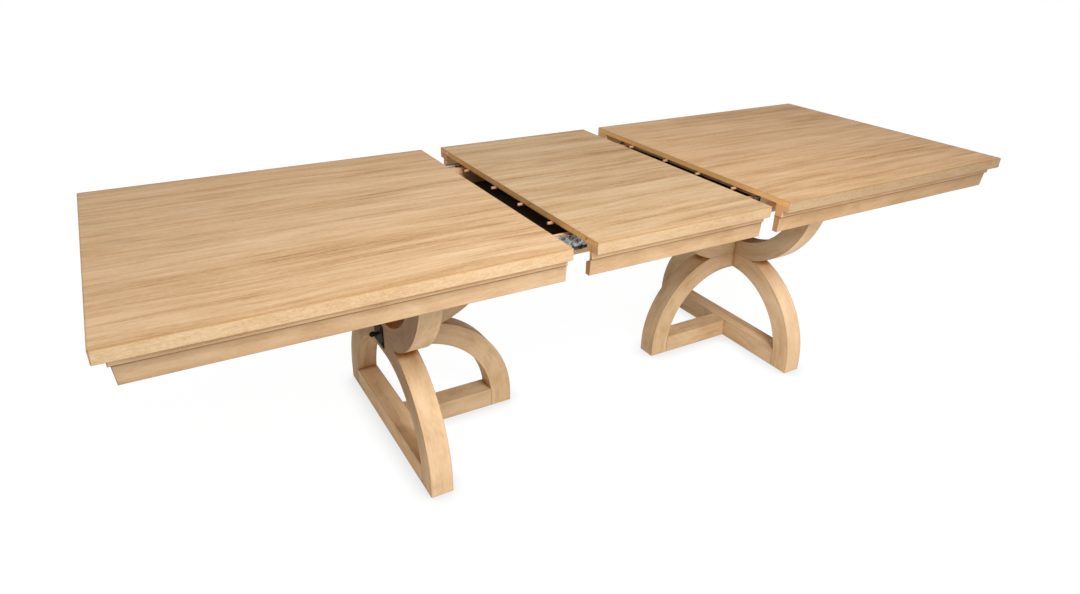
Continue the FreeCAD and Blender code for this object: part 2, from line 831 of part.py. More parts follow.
def apron_outline(hollow=(), tongue=size.strip_width):
    """Section of an apron, measured inwards from the table's edge."""
    fillet_under = slab_under - size.fillet_height
    face_top = size.apron_setback + size.apron_step
    face_foot = face_top + size.apron_lean
    outline = [
        straight(size.apron_setback, slab_under),
        straight(size.apron_setback, fillet_under),
        straight(face_top - size.cove_radius, fillet_under),
        bend(face_top, fillet_under - size.cove_radius, size.cove_radius, -1),
        straight(face_foot, apron_under + size.apron_foot_radius),
        bend(face_foot + size.apron_foot_radius, apron_under, size.apron_foot_radius, 1),
        straight(apron_inner, apron_under),
    ]
    outline += hollow
    outline.append(straight(apron_inner, panel_under))
    return outline + [straight(tongue, panel_under), straight(tongue, slab_under)]


def leaf_apron_outline():
    """The leaf's aprons are hollowed inside, between a ledge and a flange under the panel."""
    web = apron_inner - size.leaf_rebate_depth
    ledge = apron_under + size.leaf_rebate_height
    flange_edge = panel_under - size.leaf_flange_edge
    return apron_outline([straight(apron_inner, ledge), straight(web, ledge),
                          straight(web, flange_edge - size.leaf_flange_slope),
                          straight(apron_inner, flange_edge)],
                         size.strip_width + size.leaf_tongue_gap)


def make_half_panel(name, end):
    panel = new_body(f"{name}_top_panel")
    pad(panel, "top", panel_under, size.table_height, [flipped([
        straight(inner_edge, -half_width),
        straight(outer_edge - size.corner_ease, -half_width),
        straight(outer_edge, -half_width + size.corner_ease),
        straight(outer_edge, half_width - size.corner_ease),
        straight(outer_edge - size.corner_ease, half_width),
        straight(inner_edge, half_width),
    ], end)])
    soften(panel, "Fillet", size.edge_radius, lambda point: at(point.z, size.table_height))


def make_side_strip(label, end, side):
    """The strip under a long edge, mitred where it meets the end strip."""
    strip = new_body(label)
    pad(strip, "top", slab_under, panel_under, [turned_over(flipped([
        straight(inner_edge, half_width),
        straight(outer_edge - size.corner_ease, half_width),
        straight(outer_edge - size.corner_ease / 2, half_width - size.corner_ease / 2),
        straight(outer_edge - size.strip_width, half_width - size.strip_width),
        straight(inner_edge, half_width - size.strip_width),
    ], end), side)])
    soften(strip, "Fillet", size.edge_radius, lambda point: at(point.z, slab_under)
           and abs(point.y) > (half_width - size.corner_ease).value)


def make_end_strip(name, end):
    strip = new_body(f"{name}_end_edge_strip")
    corner = half_width - size.corner_ease / 2
    pad(strip, "top", slab_under, panel_under, [flipped([
        straight(outer_edge, -half_width + size.corner_ease),
        straight(outer_edge, half_width - size.corner_ease),
        straight(outer_edge - size.corner_ease / 2, corner),
        straight(outer_edge - size.strip_width, half_width - size.strip_width),
        straight(outer_edge - size.strip_width, -half_width + size.strip_width),
        straight(outer_edge - size.corner_ease / 2, -corner),
    ], end)])
    soften(strip, "Fillet", size.edge_radius, lambda point: at(point.z, slab_under)
           and abs(point.x) > (outer_edge - size.corner_ease).value)


def make_side_apron(label, end, side):
    """An apron along a half top, mitred at the outer corner."""
    apron = new_body(label)
    pad(apron, "side", end * inner_edge, end * outer_edge,
        [inward_from(half_width, side, apron_outline())])
    reach = apron_inner + size.overrun
    cut(apron, "top", size.table_height, apron_under - size.overrun, [[
        straight(end * outer_edge, side * half_width),
        straight(end * outer_edge, side * (half_width - reach)),
        straight(end * (outer_edge - reach), side * (half_width - reach)),
    ]])


def make_end_apron(name, end):
    apron = new_body(f"{name}_end_apron")
    pad(apron, "front", half_width, -half_width, [inward_from(outer_edge, end, apron_outline())])
    reach = apron_inner + size.overrun
    cut(apron, "top", size.table_height, apron_under - size.overrun, [[
        straight(end * outer_edge, side * half_width),
        straight(end * (outer_edge - reach), side * half_width),
        straight(end * (outer_edge - reach), side * (half_width - reach)),
    ] for side in sides])


def make_corner_blocks(name, end):
    """Glue blocks in the two outer corners of the aprons."""
    along, across = outer_edge - apron_inner, half_width - apron_inner
    blocks = new_body(f"{name}_corner_blocks")
    pad(blocks, "top", panel_under - size.block_height, panel_under, [[
        straight(end * along, side * across),
        straight(end * (along - size.block_leg), side * across),
        straight(end * along, side * (across - size.block_leg)),
    ] for side in sides])


def runner_screw_circles(end, radius):
    return [(end * (moving_slide_inner_end + size.slide_length * share), slide_middle, radius)
            for share in runner_screw_shares]


def make_runners(name, end):
    """The wooden runners under a half top, which the moving slides are screwed to."""
    runners = new_body(f"{name}_runners")
    for side in sides:
        pad(runners, "front", side * runner_face, side * (runner_face + size.runner_thickness),
            [flipped(rectangle(inner_edge + size.runner_inner_setback, panel_under - size.runner_height,
                               outer_edge - size.runner_outer_setback, panel_under), end)])
    for side in sides:
        cut(runners, "front", side * runner_face, side * (runner_screw_face + size.slide_screw_length),
            circles=runner_screw_circles(end, size.slide_screw_radius))


def make_moving_slides(name, end):
    slides = make_slides(f"{name}_moving_slides", end, moving_slide_inner_end, moving_outline())
    cut(slides, "front", -runner_face, runner_face,
        circles=runner_screw_circles(end, size.slide_screw_radius))


def make_slide_screws(name, end):
    screws = new_body(f"{name}_slide_screws")
    for side in sides:
        pad(screws, "front", side * runner_screw_face,
            side * (runner_screw_face + size.slide_screw_length),
            circles=runner_screw_circles(end, size.slide_screw_radius))
        pad(screws, "front", side * (runner_screw_face - size.slide_screw_head_height),
            side * runner_screw_face,
            circles=runner_screw_circles(end, size.slide_screw_head_radius))


def batten_outline(start):
    """A batten across the underside of a top, seen from above."""
    reach = rail_outer - size.batten_end_gap
    return rectangle(start, -reach, start + size.batten_width, reach)


def dowel_circles(radius):
    return [(size.table_width * share, dowel_level, radius) for share in dowel_shares]


def make_half_battens(name, end, first, hole_radius, hole_depth):
    """Three battens under a half top; the first one is drilled for the leaf's dowels."""
    last = outer_edge - apron_inner - size.block_leg - size.batten_width
    battens = new_body(f"{name}_top_battens")
    pad(battens, "top", slab_under + size.batten_clearance, panel_under,
        [flipped(batten_outline(start), end) for start in (first, (first + last) / 2, last)])
    cut(battens, "side", end * first, end * (first + hole_depth),
        circles=dowel_circles(hole_radius))


def make_dowels(label, seat, tip):
    """Four alignment dowels that point to the left, bevelled at the tip."""
    dowels = new_body(label)
    pad(dowels, "side", seat, tip, circles=dowel_circles(size.dowel_radius))
    soften(dowels, "Chamfer", size.dowel_tip_bevel, lambda point: at(point.x, tip))


def stud_circles():
    reach = half_width - size.stud_inset
    return [(reach * share, stud_level, size.stud_radius) for share in stud_shares]


def make_leaf_panel():
    panel = new_body("leaf_panel")
    pad(panel, "top", panel_under, size.table_height,
        [rectangle(-half_leaf, -half_width, half_leaf, half_width)])
    soften(panel, "Fillet", size.edge_radius, lambda point: at(point.z, size.table_height))
    cut(panel, "side", -half_leaf, -half_leaf - size.stud_proud + size.stud_length,
        circles=stud_circles())


def make_leaf_strips():
    strips = new_body("leaf_edge_strips")
    pad(strips, "side", -half_leaf, half_leaf, [inward_from(
        half_width, side, rectangle(0, slab_under, size.strip_width, panel_under)) for side in sides])
    soften(strips, "Fillet", size.edge_radius, lambda point: at(point.z, slab_under)
           and at(abs(point.y), half_width))


def make_leaf_apron(label, side):
    apron = new_body(label)
    pad(apron, "side", -half_leaf, half_leaf,
        [inward_from(half_width, side, leaf_apron_outline())])


def make_leaf_battens():
    """Three battens that the leaf rests on; the outer two hold dowels and sockets."""
    dowel_face = -half_leaf + size.dowel_setback
    socket_depth = size.dowel_reach + size.dowel_end_clearance
    battens = new_body("leaf_battens")
    pad(battens, "top", slab_under, panel_under, [
        batten_outline(dowel_face),
        batten_outline(-size.batten_width / 2),
        batten_outline(half_leaf - size.batten_width)])
    cut(battens, "side", dowel_face, dowel_face + size.dowel_seat,
        circles=dowel_circles(size.dowel_radius))
    cut(battens, "side", half_leaf, half_leaf - socket_depth,
        circles=dowel_circles(size.dowel_radius + size.dowel_clearance))


def make_leaf_studs():
    studs = new_body("leaf_edge_studs")
    pad(studs, "side", -half_leaf - size.stud_proud, -half_leaf - size.stud_proud + size.stud_length,
        circles=stud_circles())


def make_half_top(name, end):
    make_half_panel(name, end)
    make_end_strip(name, end)
    make_end_apron(name, end)
    for side_name, side in (("front", -1), ("back", 1)):
        make_side_strip(f"{name}_{side_name}_edge_strip", end, side)
        make_side_apron(f"{name}_{side_name}_apron", end, side)
    make_corner_blocks(name, end)
    make_runners(name, end)
    make_moving_slides(name, end)
    make_slide_screws(name, end)


for end_name, end_sign in (("left", -1), ("right", 1)):
    make_lower_arch(end_name, end_sign)
    make_upper_cup(end_name, end_sign)
    make_half_arch(end_name, end_sign)
    make_half_cup(end_name, end_sign)
    make_cross_stretcher(end_name, end_sign)
    make_long_stretcher(end_name, end_sign)
make_floor_glides()
make_pedestal_dowels()
make_hub_plates()
make_hub_bolts()
make_hub_plate_screws()

make_rail("front_rail", -1)
make_rail("back_rail", 1)
make_rail_crossbars()
make_centre_board()
make_rail_bolts()
make_fixed_slides("left", -1)
make_fixed_slides("right", 1)
make_fixed_slide_screws()
make_middle_slides("left", -1)
make_middle_slides("right", 1)

make_half_top("left", -1)
make_half_battens("left", -1, inner_edge, size.dowel_radius + size.dowel_clearance,
                  size.dowel_reach + size.dowel_end_clearance)
make_half_top("right", 1)
make_half_battens("right", 1, inner_edge + size.dowel_setback, size.dowel_radius, size.dowel_seat)
make_dowels("right_top_dowels", inner_edge + size.dowel_setback + size.dowel_seat,
            inner_edge - size.dowel_reach)

make_leaf_panel()
make_leaf_strips()
make_leaf_apron("leaf_front_apron", -1)
make_leaf_apron("leaf_back_apron", 1)
make_leaf_battens()
make_dowels("leaf_dowels", -half_leaf + size.dowel_setback + size.dowel_seat,
            -half_leaf - size.dowel_reach)
make_leaf_studs()

doc.recompute()

# Every object has to be sound before anything is written
for item in doc.Objects:
    if "Invalid" in item.State or "Error" in item.State:
        raise RuntimeError(f"{item.Label} failed: {item.State}")
for node in nodes:
    if node.Shape.isNull() or not node.Shape.isValid() or not node.Shape.Solids:
        raise RuntimeError(f"{node.Label} has no valid solid")

os.makedirs("parts", exist_ok=True)
for node in nodes:
    node.Shape.exportStep(f"parts/{node.Label}.step")
    box = node.Shape.BoundBox
    print(f"{node.Label}: {len(node.Shape.Solids)} solids, {box.XLength:.1f} x {box.YLength:.1f}"
          f" x {box.ZLength:.1f} mm, volume {node.Shape.Volume / 1000:.1f} cm3")
print(len(nodes), "nodes")
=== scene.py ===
import math

import bpy
from mathutils import Euler, Matrix, Vector


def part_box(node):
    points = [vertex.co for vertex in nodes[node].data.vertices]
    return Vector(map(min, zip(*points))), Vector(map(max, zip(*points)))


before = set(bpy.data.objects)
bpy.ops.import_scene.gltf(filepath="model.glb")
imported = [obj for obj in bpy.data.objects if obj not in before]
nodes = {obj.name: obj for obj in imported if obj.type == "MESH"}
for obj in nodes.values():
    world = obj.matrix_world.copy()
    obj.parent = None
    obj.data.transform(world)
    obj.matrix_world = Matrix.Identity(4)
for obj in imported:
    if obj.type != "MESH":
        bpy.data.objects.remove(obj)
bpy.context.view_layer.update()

scene = bpy.context.scene
scene.view_settings.view_transform = "Standard"
print("frame loaded:", len(nodes), "nodes")


# Small helpers for shader trees


def newMaterial(name):
    material = bpy.data.materials.new(name)
    material.use_nodes = True
    material.node_tree.nodes.clear()
    return material


def setInput(tree, socket, value):
    if isinstance(value, bpy.types.NodeSocket):
        tree.links.new(value, socket)
    else:
        socket.default_value = value


def addNode(tree, kind, inputs=None, **settings):
    made = tree.nodes.new(kind)
    for name, value in settings.items():
        setattr(made, name, value)
    for name, value in (inputs or {}).items():
        setInput(tree, made.inputs[name], value)
    return made


def mathsOf(tree, operation, first, second=0.0, third=0.0):
    made = addNode(tree, "ShaderNodeMath", {0: first, 1: second, 2: third}, operation=operation)
    return made.outputs[0]


def product(tree, *values):
    total = values[0]
    for value in values[1:]:
        total = mathsOf(tree, "MULTIPLY", total, value)
    return total


def weighed(tree, *pairs):
    # Adds patterns up, each with its own weight
    total = 0.0
    for value, weight in pairs:
        total = mathsOf(tree, "MULTIPLY_ADD", value, weight, total)
    return total


def ranged(tree, value, low, high, newLow=0.0, newHigh=1.0, smooth=False):
    made = addNode(tree, "ShaderNodeMapRange", {
        "Value": value, "From Min": low, "From Max": high, "To Min": newLow, "To Max": newHigh},
        interpolation_type="SMOOTHSTEP" if smooth else "LINEAR")
    return made.outputs["Result"]


def mixedColour(tree, factor, first, second):
    made = addNode(tree, "ShaderNodeMix", data_type="RGBA", blend_type="MIX")
    # 0, 6 and 7 are the factor and the two colours; its other inputs are for numbers
    for number, value in ((0, factor), (6, first), (7, second)):
        setInput(tree, made.inputs[number], value)
    return made.outputs[2]


def colourRamp(tree, factor, stops):
    made = addNode(tree, "ShaderNodeValToRGB", {"Fac": factor})
    points = made.color_ramp.elements
    while len(points) < len(stops):
        points.new(0.5)
    for point, (place, colour) in zip(points, stops):
        point.position = place
        point.color = colour
    return made.outputs["Color"]


def threeTones(tree, tone, low, high, dark, middle, light, middleAt=0.5):
    # A pattern between low and high, turned into three tones of one wood
    return colourRamp(tree, ranged(tree, tone, low, high), [
        (0.0, dark), (middleAt, middle), (1.0, light)])


def vectorOf(tree, operation, first, second):
    made = addNode(tree, "ShaderNodeVectorMath", {0: first, 1: second}, operation=operation)
    return made.outputs[0]


def scaledColour(tree, colour, factor):
    if not isinstance(colour, bpy.types.NodeSocket):
        colour = colour[:3]
    made = addNode(tree, "ShaderNodeVectorMath", {0: colour, 3: factor}, operation="SCALE")
    return made.outputs[0]


def noiseAt(tree, vector, stretch, detail, roughness, distortion=0.0):
    # Noise with its own number of waves per metre along each axis
    made = addNode(tree, "ShaderNodeTexNoise", {
        "Vector": vectorOf(tree, "MULTIPLY", vector, stretch), "Scale": 1.0, "Detail": detail,
        "Roughness": roughness, "Distortion": distortion})
    return made.outputs["Fac"]


def srgb(red, green, blue):
    # A colour as a paint chart gives it, 0 to 255, made linear
    parts = []
    for part in (red, green, blue):
        part /= 255
        parts.append(part / 12.92 if part <= 0.04045 else ((part + 0.055) / 1.055) ** 2.4)
    return (*parts, 1.0)


def objectPlace(tree):
    return addNode(tree, "ShaderNodeTexCoord").outputs["Object"]


def placeAlong(tree, axis):
    # Where a spot lies along X, Y or Z, in metres
    return addNode(tree, "ShaderNodeSeparateXYZ", {0: objectPlace(tree)}).outputs[axis]


def facing(tree, axis):
    # How squarely the surface looks along an axis of the object, from 0 to 1
    sides = addNode(tree, "ShaderNodeSeparateXYZ", {
        0: addNode(tree, "ShaderNodeTexCoord").outputs["Normal"]})
    return mathsOf(tree, "ABSOLUTE", sides.outputs[axis])


def arrises(tree, radius, soft=0.12):
    # 1 on the sharp edges of a piece and 0 a few millimetres away
    rounded = addNode(tree, "ShaderNodeBevel", {"Radius": radius}, samples=4)
    flat = addNode(tree, "ShaderNodeNewGeometry").outputs["Normal"]
    alike = addNode(tree, "ShaderNodeVectorMath", {0: rounded.outputs[0], 1: flat},
                    operation="DOT_PRODUCT")
    return ranged(tree, alike.outputs["Value"], 0.998, 1 - soft)


def crevices(tree, reach, unshaded, shaded):
    # 1 in narrow corners, from how much of the surroundings is hidden within reach
    shade = addNode(tree, "ShaderNodeAmbientOcclusion", {"Distance": reach}, samples=6)
    return ranged(tree, shade.outputs["AO"], unshaded, shaded)


def roughnessAround(tree, pattern, look, more, less, low=0.3, high=0.7):
    middle = look["roughness"]
    return ranged(tree, pattern, low, high, middle + more, middle - less)


def finished(tree, colour, roughness, bumps, gloss, metal=0.0):
    # Bumps are a height pattern, its strength, and its depth in metres
    height, strength, depth = bumps
    relief = addNode(tree, "ShaderNodeBump", {
        "Height": height, "Strength": strength, "Distance": depth})
    surface = addNode(tree, "ShaderNodeBsdfPrincipled", {
        "Base Color": colour, "Normal": relief.outputs[0], "Roughness": roughness})
    surface.inputs["Metallic"].default_value = metal
    surface.inputs["Specular IOR Level"].default_value = gloss
    addNode(tree, "ShaderNodeOutputMaterial", {"Surface": surface.outputs[0]})


def paint(names, material):
    for name in names:
        for slot in nodes[name].material_slots:
            slot.material = material


# Where the grain of a piece runs: x is along it, y across it and z into it, in metres


def straightGrain(tree, run, shift=0.0):
    # The shift picks another stretch of the same wood for another board
    place = objectPlace(tree)
    if run == "y":
        parts = addNode(tree, "ShaderNodeSeparateXYZ", {0: place})
        place = addNode(tree, "ShaderNodeCombineXYZ", {
            number: parts.outputs[axis] for number, axis in enumerate("YXZ")}).outputs[0]
    return vectorOf(tree, "ADD", place, (shift, shift * 0.37, 0.0))


def bentGrain(tree, bent):
    # Along a quarter bend: straight past its two ends, and round its centre in between
    parts = addNode(tree, "ShaderNodeSeparateXYZ", {0: objectPlace(tree)})
    if bent["plane"] == "side":
        sideways = mathsOf(tree, "ABSOLUTE", parts.outputs["Y"])
        depth = parts.outputs["X"]
    else:
        fromMiddle = mathsOf(tree, "ABSOLUTE", parts.outputs["X"])
        sideways = mathsOf(tree, "SUBTRACT", bent["middle"], fromMiddle)
        depth = parts.outputs["Y"]
    reach = mathsOf(tree, "SUBTRACT", sideways, bent["across"])
    rise = mathsOf(tree, "SUBTRACT", parts.outputs["Z"], bent["level"])
    rise = mathsOf(tree, "MULTIPLY", rise, bent["up"])
    outward = mathsOf(tree, "MAXIMUM", reach, 0.0)
    upward = mathsOf(tree, "MAXIMUM", rise, 0.0)
    angle = mathsOf(tree, "ARCTAN2", upward, mathsOf(tree, "MAXIMUM", outward, 0.00001))
    along = mathsOf(tree, "MULTIPLY", angle, bent["radius"])
    along = mathsOf(tree, "SUBTRACT", along, mathsOf(tree, "MINIMUM", rise, 0.0))
    along = mathsOf(tree, "SUBTRACT", along, mathsOf(tree, "MINIMUM", reach, 0.0))
    span = mathsOf(tree, "SQRT", mathsOf(tree, "ADD", mathsOf(tree, "POWER", outward, 2.0),
                                         mathsOf(tree, "POWER", upward, 2.0)))
    return addNode(tree, "ShaderNodeCombineXYZ", {0: along, 1: span, 2: depth}).outputs[0]


# Top: a quiet straight-grained veneer, limed and glazed, over chalkier solid edges

veneer = {
    "light": srgb(229, 198, 160),
    "middle": srgb(215, 180, 140),
    "streak": srgb(198, 160, 118),
    "deep": srgb(174, 134, 94),
    "arris": srgb(176, 136, 90),
    # Colour of the painted shade along the top's margins
    "shadedRim": srgb(146, 110, 72),
    "sawnEnd": srgb(238, 188, 122),
    "roughness": 0.6,
    "gloss": 0.03,
    # The upper arris is worn above these heights: the lower one lies on the edge strip
    "wornFrom": 0.7515,
    "wornFully": 0.7535,
    # How far in from the back, the front and the right end the painted shade on the rim starts,
    # and is full
    "rimBack": (0.009, 0.003),
    "rimFront": (0.004, 0.001),
    "rimFrontShare": 0.5,
    "rimEnd": (0.008, 0.003),
}
edging = {
    "light": srgb(240, 212, 176),
    "middle": srgb(226, 192, 152),
    "streak": srgb(206, 168, 126),
    "arris": srgb(208, 164, 112),
    "end": srgb(220, 174, 126),
    "veneerLine": srgb(212, 164, 104),
    "veneerLow": 0.7588,
    # The strip's lower arris is worn below these heights: the upper one touches the panel
    "wornFrom": 0.7445,
    "wornFully": 0.7425,
    "roughness": 0.605,
    "gloss": 0.03,
}
apronLook = {
    "light": srgb(230, 198, 158),
    "middle": srgb(213, 177, 137),
    "streak": srgb(192, 154, 113),
    "arris": srgb(150, 110, 72),
    "end": srgb(206, 154, 104),
    # Also the colour of the painted shade in the corner under the bead
    "glaze": srgb(122, 82, 50),
    "beadLow": 0.7060,
    # How much lighter the bead is painted, a painted light against the edge strip's shadow
    "beadPaintedLight": 1.42,
    # Distances from the table's middle between which the boards are painted darker, a painted
    # shade, and both tones
    "endShade": (0.85, 1.38),
    "endShadeTones": (1.03, 0.93),
    "cornersFrom": 1.395,
    "cornersFully": 1.405,
    "roughness": 0.58,
    "gloss": 0.03,
}


def wavy(tree, grain):
    # The grain wanders a few millimetres to the side over a hand's length
    drift = noiseAt(tree, grain, (1.6, 3.0, 3.0), 2.0, 0.5)
    side = addNode(tree, "ShaderNodeCombineXYZ", {
        1: ranged(tree, drift, 0.0, 1.0, -0.02, 0.02)}).outputs[0]
    return vectorOf(tree, "ADD", grain, side)


def veneerColour(tree, grain, look):
    wander = wavy(tree, grain)
    broad = noiseAt(tree, wander, (0.9, 14.0, 14.0), 3.0, 0.55)
    streaks = noiseAt(tree, wander, (2.5, 44.0, 44.0), 5.0, 0.62, 0.2)
    fine = noiseAt(tree, wander, (6.5, 150.0, 150.0), 4.0, 0.65)
    fuzz = noiseAt(tree, grain, (70.0, 260.0, 260.0), 3.0, 0.7)
    cloud = noiseAt(tree, grain, (2.6, 6.0, 6.0), 3.0, 0.55, 0.5)
    pores = noiseAt(tree, grain, (42.0, 1300.0, 1300.0), 1.0, 0.5)
    tone = weighed(tree, (broad, 0.24), (streaks, 0.36), (fine, 0.26), (fuzz, 0.18),
                   (cloud, 0.12))
    wood = colourRamp(tree, ranged(tree, tone, 0.46, 0.71), [
        (0.0, look["deep"]), (0.22, look["streak"]), (0.55, look["middle"]),
        (1.0, look["light"])])
    # Long thin darker lines follow the grain here and there
    ridge = noiseAt(tree, wander, (0.8, 20.0, 20.0), 2.0, 0.5)
    nearLine = mathsOf(tree, "ABSOLUTE", mathsOf(tree, "SUBTRACT", ridge, 0.53))
    line = ranged(tree, nearLine, 0.0, 0.035, 1.0, 0.0, smooth=True)
    patch = ranged(tree, noiseAt(tree, grain, (3.0, 9.0, 9.0), 2.0, 0.5), 0.42, 0.62)
    darker = ranged(tree, product(tree, line, patch), 0.0, 1.0, 1.0, 0.86)
    poreTone = ranged(tree, pores, 0.60, 0.72, 1.0, 0.82)
    return scaledColour(tree, wood, product(tree, darker, poreTone)), fine, poreTone


def edgeColour(tree, grain, look):
    streaks = noiseAt(tree, grain, (3.0, 60.0, 60.0), 4.0, 0.6, 0.2)
    flecks = noiseAt(tree, grain, (110.0, 330.0, 330.0), 3.0, 0.7)
    chalk = noiseAt(tree, grain, (26.0, 120.0, 120.0), 3.0, 0.6, 0.4)
    cloud = noiseAt(tree, grain, (4.0, 9.0, 9.0), 2.0, 0.5)
    tone = weighed(tree, (streaks, 0.14), (flecks, 0.44), (chalk, 0.26), (cloud, 0.16))
    wood = threeTones(tree, tone, 0.37, 0.65, look["streak"], look["middle"], look["light"], 0.45)
    return wood, flecks


def outerEdge(tree, grain, look, tint):
    # The solid edge's face, with the golden edge of the veneer along its top
    wood, flecks = edgeColour(tree, grain, look)
    veneerEdge = ranged(tree, placeAlong(tree, "Z"),
                        look["veneerLow"] - 0.0006, look["veneerLow"] + 0.0004)
    patches = noiseAt(tree, grain, (14.0, 30.0, 30.0), 3.0, 0.6)
    veneerEdge = product(tree, veneerEdge, ranged(tree, patches, 0.38, 0.6, 0.3, 0.9))
    wood = mixedColour(tree, veneerEdge, wood, look["veneerLine"])
    return vectorOf(tree, "MULTIPLY", wood, tint), flecks


def shadedRimMask(tree, panel, look):
    # 1 on the outer margins of a panel's top, where a painted shade darkens the rim
    low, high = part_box(panel)
    along, across = placeAlong(tree, "X"), placeAlong(tree, "Y")
    starts, full = look["rimBack"]
    back = ranged(tree, across, high.y - starts, high.y - full)
    starts, full = look["rimFront"]
    front = ranged(tree, across, low.y + starts, low.y + full, 0.0, look["rimFrontShare"])
    shadedRim = mathsOf(tree, "MAXIMUM", back, front)
    # Of the two outer ends only the right one has it
    if panel == "right_top_panel":
        starts, full = look["rimEnd"]
        shadedRim = mathsOf(tree, "MAXIMUM", shadedRim, ranged(tree, along, high.x - starts, high.x - full))
    return shadedRim


def topPanel(name, panel, look, edge, tint, edgeTint, shift, innerEnds):
    material = newMaterial(name)
    tree = material.node_tree
    along = straightGrain(tree, "x", shift)
    wood, fine, poreTone = veneerColour(tree, along, look)
    wood = vectorOf(tree, "MULTIPLY", wood, tint)
    upper = ranged(tree, facing(tree, "Z"), 0.5, 0.75)
    sideways = ranged(tree, facing(tree, "X"), 0.5, 0.75)
    side, flecks = outerEdge(tree, along, edge, edgeTint)
    across = outerEdge(tree, straightGrain(tree, "y", shift), edge, edgeTint)[0]

    # The ends at the gaps are sawn and stained golden
    distance = mathsOf(tree, "ABSOLUTE", placeAlong(tree, "X"))
    atGap = ranged(tree, distance, innerEnds, innerEnds + 0.01, 1.0, 0.0)
    sawMarks = noiseAt(tree, along, (30.0, 25.0, 160.0), 3.0, 0.6)
    sawn = scaledColour(tree, look["sawnEnd"], ranged(tree, sawMarks, 0.3, 0.7, 0.90, 1.08))
    endFace = mixedColour(tree, atGap, across, sawn)
    edges = mixedColour(tree, sideways, side, endFace)
    colour = mixedColour(tree, upper, edges, wood)
    upperArris = ranged(tree, placeAlong(tree, "Z"), look["wornFrom"], look["wornFully"])
    worn = product(tree, arrises(tree, 0.0065, 0.06), upperArris,
                   ranged(tree, flecks, 0.3, 0.6, 0.5, 1.0))
    colour = mixedColour(tree, worn, colour, look["arris"])
    # A painted shade darkens the back, front and right-end margins of the top
    shadedRim = product(tree, shadedRimMask(tree, panel, look), upper,
                  ranged(tree, flecks, 0.3, 0.6, 0.5, 0.95))
    colour = mixedColour(tree, shadedRim, colour, look["shadedRim"])
    relief = weighed(tree, (fine, 0.6), (poreTone, 0.9))
    finished(tree, colour, roughnessAround(tree, fine, look, 0.06, 0.05),
             (relief, 0.2, 0.0006), look["gloss"])
    return material


def edgeStrip(name, edge, run, tint, shift):
    material = newMaterial(name)
    tree = material.node_tree
    grain = straightGrain(tree, run, shift)
    wood, flecks = outerEdge(tree, grain, edge, tint)
    lowerArris = ranged(tree, placeAlong(tree, "Z"), edge["wornFrom"], edge["wornFully"])
    worn = product(tree, arrises(tree, 0.0016), lowerArris,
                   ranged(tree, flecks, 0.3, 0.6, 0.1, 0.35))
    # The joint to the apron is a thin brown line
    glazeAndShade = product(tree, crevices(tree, 0.005, 0.65, 0.3), 0.45)
    endOn = ranged(tree, facing(tree, run.upper()), 0.6, 0.9)
    wood = mixedColour(tree, product(tree, endOn, 0.85), wood, edge["end"])
    colour = mixedColour(tree, worn, wood, edge["arris"])
    colour = mixedColour(tree, glazeAndShade, colour, apronLook["glaze"])
    finished(tree, colour, roughnessAround(tree, flecks, edge, 0.055, 0.055),
             (flecks, 0.3, 0.0005), edge["gloss"])
    return material


def apronBoard(name, look, run, tint, shift):
    material = newMaterial(name)
    tree = material.node_tree
    grain = straightGrain(tree, run, shift)
    streaks = noiseAt(tree, grain, (2.6, 42.0, 42.0), 4.0, 0.6, 0.3)
    fine = noiseAt(tree, grain, (6.0, 190.0, 190.0), 3.0, 0.65)
    cloud = noiseAt(tree, grain, (7.0, 16.0, 16.0), 4.0, 0.6, 0.6)
    fuzz = noiseAt(tree, grain, (80.0, 210.0, 210.0), 3.0, 0.7)
    tone = weighed(tree, (streaks, 0.24), (fine, 0.16), (cloud, 0.42), (fuzz, 0.18))
    wood = threeTones(tree, tone, 0.36, 0.66, look["streak"], look["middle"], look["light"])
    endOn = ranged(tree, facing(tree, run.upper()), 0.6, 0.9)
    wood = mixedColour(tree, product(tree, endOn, 0.8), wood, look["end"])
    # The bead under the edge is painted lighter, a painted light against the shade the edge strip
    # casts on it, and a painted shade line lies in the corner beneath it
    height = placeAlong(tree, "Z")
    low = look["beadLow"]
    paintedBeadLight = ranged(tree, height, low, low + 0.001, 1.0, look["beadPaintedLight"])
    # Towards the table's ends the boards are painted darker, a painted shade where less light
    # reaches; the worn arris lines are fullest at their mitred corners
    distance = mathsOf(tree, "ABSOLUTE", placeAlong(tree, "X"))
    endShaded = ranged(tree, distance, *look["endShade"], *look["endShadeTones"])
    wood = scaledColour(tree, wood, product(tree, paintedBeadLight, endShaded))
    wood = vectorOf(tree, "MULTIPLY", wood, tint)
    corners = ranged(tree, distance, look["cornersFrom"], look["cornersFully"], 0.0, 0.9)
    patchy = mathsOf(tree, "MAXIMUM", ranged(tree, fuzz, 0.3, 0.6, 0.2, 0.55), corners)
    worn = product(tree, arrises(tree, 0.003), patchy)
    colour = mixedColour(tree, worn, wood, look["arris"])
    # A painted shade line runs just below the bead, and painted shade darkens the apron's corners
    # by how hidden they are
    shadeLineUnderBead = product(tree, ranged(tree, height, low - 0.006, low - 0.003),
                     ranged(tree, height, low + 0.002, low),
                     ranged(tree, cloud, 0.35, 0.6, 0.25, 1.0))
    glazeAndShade = product(tree, crevices(tree, 0.006, 0.62, 0.25),
                     ranged(tree, fuzz, 0.3, 0.6, 0.5, 0.9))
    glazeAndShade = mathsOf(tree, "MAXIMUM", glazeAndShade, product(tree, shadeLineUnderBead, 0.66))
    colour = mixedColour(tree, glazeAndShade, colour, look["glaze"])
    finished(tree, colour, roughnessAround(tree, cloud, look, 0.06, 0.05),
             (fine, 0.25, 0.0006), look["gloss"])
    return material


